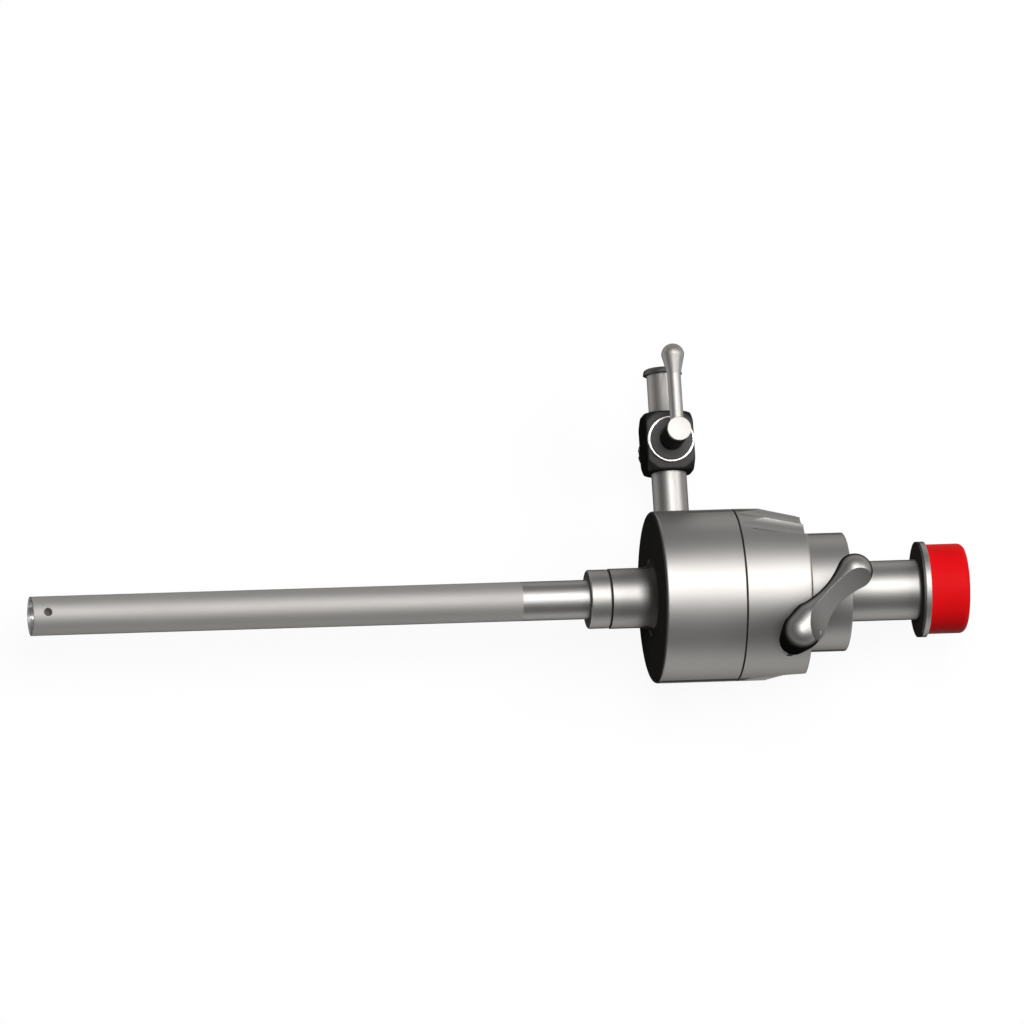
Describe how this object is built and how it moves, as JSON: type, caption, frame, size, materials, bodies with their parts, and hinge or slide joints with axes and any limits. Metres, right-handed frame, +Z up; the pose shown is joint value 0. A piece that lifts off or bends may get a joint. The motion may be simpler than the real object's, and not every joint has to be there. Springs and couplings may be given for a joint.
{
  "type": "laparoscopic trocar",
  "caption": "Metal trocar cannula with a round valve housing, lever-opened flap valve, stopcock with gas port and red silicone seal cap.",
  "frame": {"origin": "centre of the cannula's open distal end", "axes": "+X along the cannula towards the seal cap, +Y towards the stopcock's gas port, +Z up, towards the thumb lever and the stopcock's handle"},
  "size_m": [0.168, 0.0587, 0.0376],
  "materials": {
    "matte_steel": "matte glass-blasted stainless steel",
    "satin_steel": "satin turned stainless steel",
    "polished_steel": "polished stainless steel",
    "spring_steel": "drawn spring steel",
    "bronze": "sintered bronze",
    "black_rubber": "black rubber",
    "clear_silicone": "translucent silicone",
    "white_plastic": "white low-friction plastic",
    "red_silicone": "smooth red silicone"
  },
  "bodies": {
    "housing": {"cannula_tube": "matte_steel", "cannula_collar": "polished_steel", "collar_seal": "black_rubber", "drum_shell": "satin_steel", "housing_seal": "black_rubber", "rear_ring": "satin_steel", "rear_housing": "satin_steel", "neck_gasket": "black_rubber", "seal_neck": "satin_steel", "valve_seat": "clear_silicone", "shaft_bushes": "bronze", "shaft_seal": "black_rubber", "thrust_washer": "white_plastic", "torsion_spring": "spring_steel", "stopcock_stem": "satin_steel", "stopcock_block": "satin_steel", "luer_port": "satin_steel"},
    "flap_and_lever": {"lever": "polished_steel", "lever_shaft": "polished_steel", "lever_pin": "polished_steel", "shaft_clip": "spring_steel", "flap_arm": "polished_steel", "flap_plate": "polished_steel", "flap_rivet": "polished_steel"},
    "plug_and_handle": {"stopcock_plug": "polished_steel", "plug_ring": "polished_steel", "plug_handle": "polished_steel", "plug_washer": "polished_steel", "spring_washer": "spring_steel", "plug_nut": "polished_steel"},
    "pull_off_cap": {"seal_cap": "red_silicone"}
  },
  "joints": [
    {"name": "flap_lever", "type": "hinge", "parent": "housing", "child": "flap_and_lever", "pos_m": [0.13453, -0.01122, 0], "axis": [0, 0, 1], "range_deg": [0, 70], "stiffness_Nm_per_rad": 0.01, "springref_deg": -28.65},
    {"name": "stopcock_turn", "type": "hinge", "parent": "housing", "child": "plug_and_handle", "pos_m": [0.11635, 0.02765, 0], "axis": [0, 0, 1], "continuous": true},
    {"name": "cap_pull", "type": "slide", "parent": "housing", "child": "pull_off_cap", "axis": [1, 0, 0], "range_m": [0, 0.02]}
  ]
}
